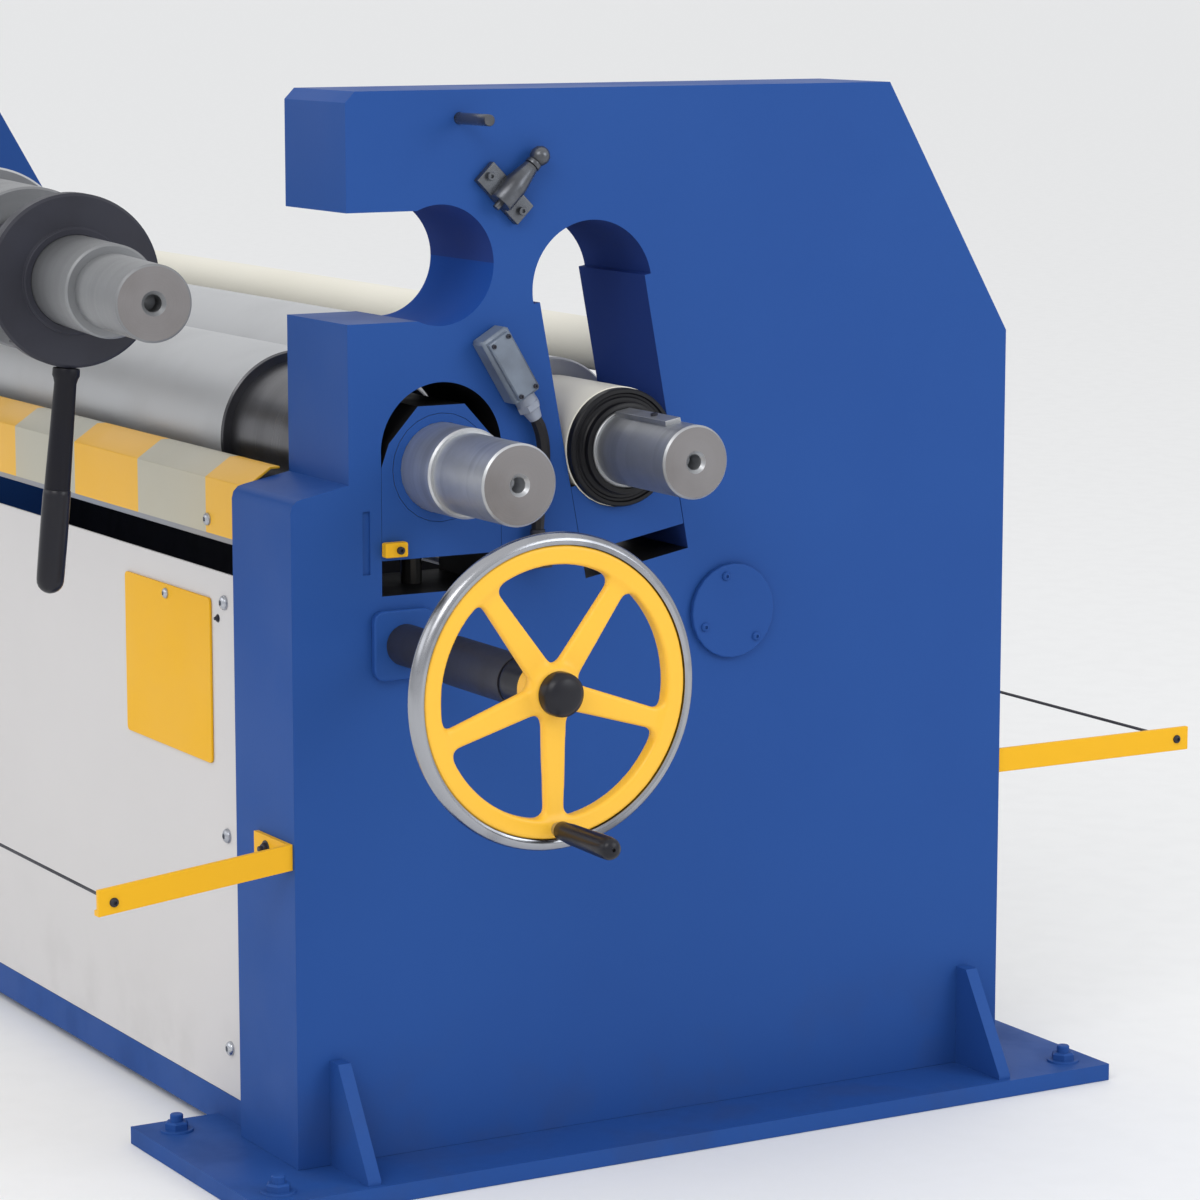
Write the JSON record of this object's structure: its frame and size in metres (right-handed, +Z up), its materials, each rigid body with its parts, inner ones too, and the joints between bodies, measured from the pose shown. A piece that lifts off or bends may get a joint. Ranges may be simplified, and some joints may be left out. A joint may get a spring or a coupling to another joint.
{
  "type": "plate rolling machine",
  "caption": "Floor-standing plate bending machine with a swing-out top roll, lifting lower rolls in C-jaw frames, handwheel, latch, guard rail and trip wires.",
  "frame": {"origin": "on the floor, at the centre of the footprint of the whole machine", "axes": "+X along the rolls towards the drop end, +Z up, -Y towards the operator"},
  "size_m": [4.0698, 1.5672, 1.205],
  "materials": {
    "drop_end_frame": "deep blue machine enamel, satin",
    "drive_end_frame": "deep blue machine enamel, satin",
    "base_frame": "deep blue machine enamel, satin",
    "front_panel": "light grey enamel, satin",
    "rear_panel": "light grey enamel, satin",
    "access_cover": "yellow enamel, satin",
    "guard_rail": "yellow enamel, satin",
    "rear_tie_tube": "cream enamel, satin",
    "shaft_sleeve": "black oxide, satin",
    "shaft_pad": "deep blue machine enamel, satin",
    "port_cover": "deep blue machine enamel, satin",
    "stop_pin": "ground and turned steel",
    "latch_bracket": "dark oiled steel",
    "limit_switch": "blue grey painted die casting",
    "switch_cable": "black cable jacket",
    "frame_gland": "blue grey painted die casting",
    "lift_gearmotor": "grey painted casting",
    "trip_arm_front_drop": "yellow enamel, satin",
    "trip_arm_front_drive": "yellow enamel, satin",
    "trip_arm_rear_drop": "yellow enamel, satin",
    "trip_arm_rear_drive": "yellow enamel, satin",
    "trip_wire_front": "black oxide, satin",
    "trip_wire_rear": "black oxide, satin",
    "front_block_drop": "deep blue machine enamel, satin",
    "front_block_drive": "deep blue machine enamel, satin",
    "front_bush_drop": "machined bronze",
    "front_bush_drive": "machined bronze",
    "front_lift_screw_drop": "ground and turned steel",
    "front_lift_screw_drive": "ground and turned steel",
    "position_pointer": "yellow enamel, satin",
    "drive_gearmotor": "grey painted casting",
    "front_roll": "ground and turned steel",
    "handwheel_rim": "polished bright plate",
    "handwheel": "yellow enamel, satin",
    "hub_cap": "black moulded plastic, satin",
    "front_cross_shaft": "ground and turned steel",
    "crank_bolt": "polished bright plate",
    "crank_grip": "black moulded plastic, satin",
    "front_worm_wheel_drop": "machined bronze",
    "front_worm_wheel_drive": "machined bronze",
    "rear_block_drop": "deep blue machine enamel, satin",
    "rear_block_drive": "deep blue machine enamel, satin",
    "rear_cartridge_drop": "cream enamel, satin",
    "rear_cartridge_drive": "cream enamel, satin",
    "rear_lift_screw_drop": "ground and turned steel",
    "rear_lift_screw_drive": "ground and turned steel",
    "rear_seal_flange": "black oxide, satin",
    "rear_roll": "ground and turned steel",
    "rear_roll_key": "ground and turned steel",
    "rear_cross_shaft": "ground and turned steel",
    "rear_worm_wheel_drop": "machined bronze",
    "rear_worm_wheel_drive": "machined bronze",
    "swing_yoke": "grey painted casting",
    "yoke_bush": "machined bronze",
    "top_roll": "ground and turned steel",
    "top_roll_nut": "dark oiled steel",
    "lock_disc": "black oxide, satin",
    "lock_lever": "dark oiled steel",
    "lever_grip": "black moulded plastic, satin",
    "latch_plunger": "dark oiled steel"
  },
  "bodies": {
    "machine": {"drop_end_frame": "drop_end_frame", "drive_end_frame": "drive_end_frame", "base_frame": "base_frame", "front_panel": "front_panel", "rear_panel": "rear_panel", "access_cover": "access_cover", "guard_rail": "guard_rail", "rear_tie_tube": "rear_tie_tube", "shaft_sleeve": "shaft_sleeve", "shaft_pad": "shaft_pad", "port_cover": "port_cover", "stop_pin": "stop_pin", "latch_bracket": "latch_bracket", "limit_switch": "limit_switch", "switch_cable": "switch_cable", "frame_gland": "frame_gland", "lift_gearmotor": "lift_gearmotor", "trip_arm_front_drop": "trip_arm_front_drop", "trip_arm_front_drive": "trip_arm_front_drive", "trip_arm_rear_drop": "trip_arm_rear_drop", "trip_arm_rear_drive": "trip_arm_rear_drive", "trip_wire_front": "trip_wire_front", "trip_wire_rear": "trip_wire_rear"},
    "front_carriage": {"front_block_drop": "front_block_drop", "front_block_drive": "front_block_drive", "front_bush_drop": "front_bush_drop", "front_bush_drive": "front_bush_drive", "front_lift_screw_drop": "front_lift_screw_drop", "front_lift_screw_drive": "front_lift_screw_drive", "position_pointer": "position_pointer", "drive_gearmotor": "drive_gearmotor"},
    "front_roll": {"front_roll": "front_roll"},
    "front_adjuster": {"handwheel_rim": "handwheel_rim", "handwheel": "handwheel", "hub_cap": "hub_cap", "front_cross_shaft": "front_cross_shaft", "crank_bolt": "crank_bolt"},
    "crank_grip": {"crank_grip": "crank_grip"},
    "front_wheel_drop": {"front_worm_wheel_drop": "front_worm_wheel_drop"},
    "front_wheel_drive": {"front_worm_wheel_drive": "front_worm_wheel_drive"},
    "rear_carriage": {"rear_block_drop": "rear_block_drop", "rear_block_drive": "rear_block_drive", "rear_cartridge_drop": "rear_cartridge_drop", "rear_cartridge_drive": "rear_cartridge_drive", "rear_lift_screw_drop": "rear_lift_screw_drop", "rear_lift_screw_drive": "rear_lift_screw_drive", "rear_seal_flange": "rear_seal_flange"},
    "rear_roll": {"rear_roll": "rear_roll", "rear_roll_key": "rear_roll_key"},
    "rear_adjuster": {"rear_cross_shaft": "rear_cross_shaft"},
    "rear_wheel_drop": {"rear_worm_wheel_drop": "rear_worm_wheel_drop"},
    "rear_wheel_drive": {"rear_worm_wheel_drive": "rear_worm_wheel_drive"},
    "swing_yoke": {"swing_yoke": "swing_yoke", "yoke_bush": "yoke_bush"},
    "top_roll": {"top_roll": "top_roll", "top_roll_nut": "top_roll_nut"},
    "lock": {"lock_disc": "lock_disc", "lock_lever": "lock_lever", "lever_grip": "lever_grip"},
    "latch_plunger": {"latch_plunger": "latch_plunger"}
  },
  "joints": [
    {"name": "top_roll_swing", "type": "hinge", "parent": "machine", "child": "swing_yoke", "pos_m": [-1.485, -0.2525, 1.015], "axis": [0, 0, 1], "range_deg": [0, 8]},
    {"name": "top_roll_spin", "type": "hinge", "parent": "swing_yoke", "child": "top_roll", "pos_m": [-1.485, -0.2525, 1.015], "axis": [0.9903, -0.1392, 0], "continuous": true},
    {"name": "lock_turn", "type": "hinge", "parent": "swing_yoke", "child": "lock", "pos_m": [-1.485, -0.2525, 1.015], "axis": [0.9903, -0.1392, 0], "range_deg": [-175.01, 0.01]},
    {"name": "front_adjuster_turn", "type": "hinge", "parent": "machine", "child": "front_adjuster", "pos_m": [1.56, -0.304, 0.601], "axis": [1, 0, 0], "range_deg": [-8101, 4321]},
    {"name": "crank_grip_spin", "type": "hinge", "parent": "front_adjuster", "child": "crank_grip", "pos_m": [1.56, -0.304, 0.4585], "axis": [1, 0, 0], "continuous": true},
    {"name": "front_roll_lift", "type": "slide", "parent": "machine", "child": "front_carriage", "axis": [0, 0, 1], "range_m": [-0.03, 0.016]},
    {"name": "front_roll_spin", "type": "hinge", "parent": "front_carriage", "child": "front_roll", "pos_m": [0, -0.2525, 0.793], "axis": [1, 0, 0], "continuous": true},
    {"name": "front_wheel_turn_drop", "type": "hinge", "parent": "machine", "child": "front_wheel_drop", "pos_m": [1.485, -0.2525, 0.601], "axis": [0, 0, 1], "range_deg": [-1351, 721]},
    {"name": "front_wheel_turn_drive", "type": "hinge", "parent": "machine", "child": "front_wheel_drive", "pos_m": [-1.485, -0.2525, 0.601], "axis": [0, 0, 1], "range_deg": [-1351, 721]},
    {"name": "rear_adjuster_turn", "type": "hinge", "parent": "machine", "child": "rear_adjuster", "pos_m": [0, 0.06366, 0.59321], "axis": [1, 0, 0], "range_deg": [-4051, 32401]},
    {"name": "rear_roll_lift", "type": "slide", "parent": "machine", "child": "rear_carriage", "axis": [0, -0.1822, 0.9833], "range_m": [-0.015, 0.12]},
    {"name": "rear_roll_spin", "type": "hinge", "parent": "rear_carriage", "child": "rear_roll", "pos_m": [0, -0.0275, 0.8025], "axis": [1, 0, 0], "continuous": true},
    {"name": "rear_wheel_turn_drop", "type": "hinge", "parent": "machine", "child": "rear_wheel_drop", "pos_m": [1.485, 0.01303, 0.58382], "axis": [0, -0.1822, 0.9833], "range_deg": [-676, 5401]},
    {"name": "rear_wheel_turn_drive", "type": "hinge", "parent": "machine", "child": "rear_wheel_drive", "pos_m": [-1.485, 0.01303, 0.58382], "axis": [0, -0.1822, 0.9833], "range_deg": [-676, 5401]},
    {"name": "latch_pull", "type": "slide", "parent": "machine", "child": "latch_plunger", "axis": [0, 0.7071, 0.7071], "range_m": [0, 0.012], "stiffness_N_per_m": 300, "springref_m": -0.01}
  ],
  "couplings": [
    {"joint": "lock_turn", "follows": "top_roll_swing", "ratio": -21.875},
    {"joint": "front_adjuster_turn", "follows": "front_roll_lift", "rad_per_m": 4712.4},
    {"joint": "front_wheel_turn_drop", "follows": "front_roll_lift", "rad_per_m": 785.4},
    {"joint": "front_wheel_turn_drive", "follows": "front_roll_lift", "rad_per_m": 785.4},
    {"joint": "rear_adjuster_turn", "follows": "rear_roll_lift", "rad_per_m": 4712.4},
    {"joint": "rear_wheel_turn_drop", "follows": "rear_roll_lift", "rad_per_m": 785.4},
    {"joint": "rear_wheel_turn_drive", "follows": "rear_roll_lift", "rad_per_m": 785.4}
  ]
}
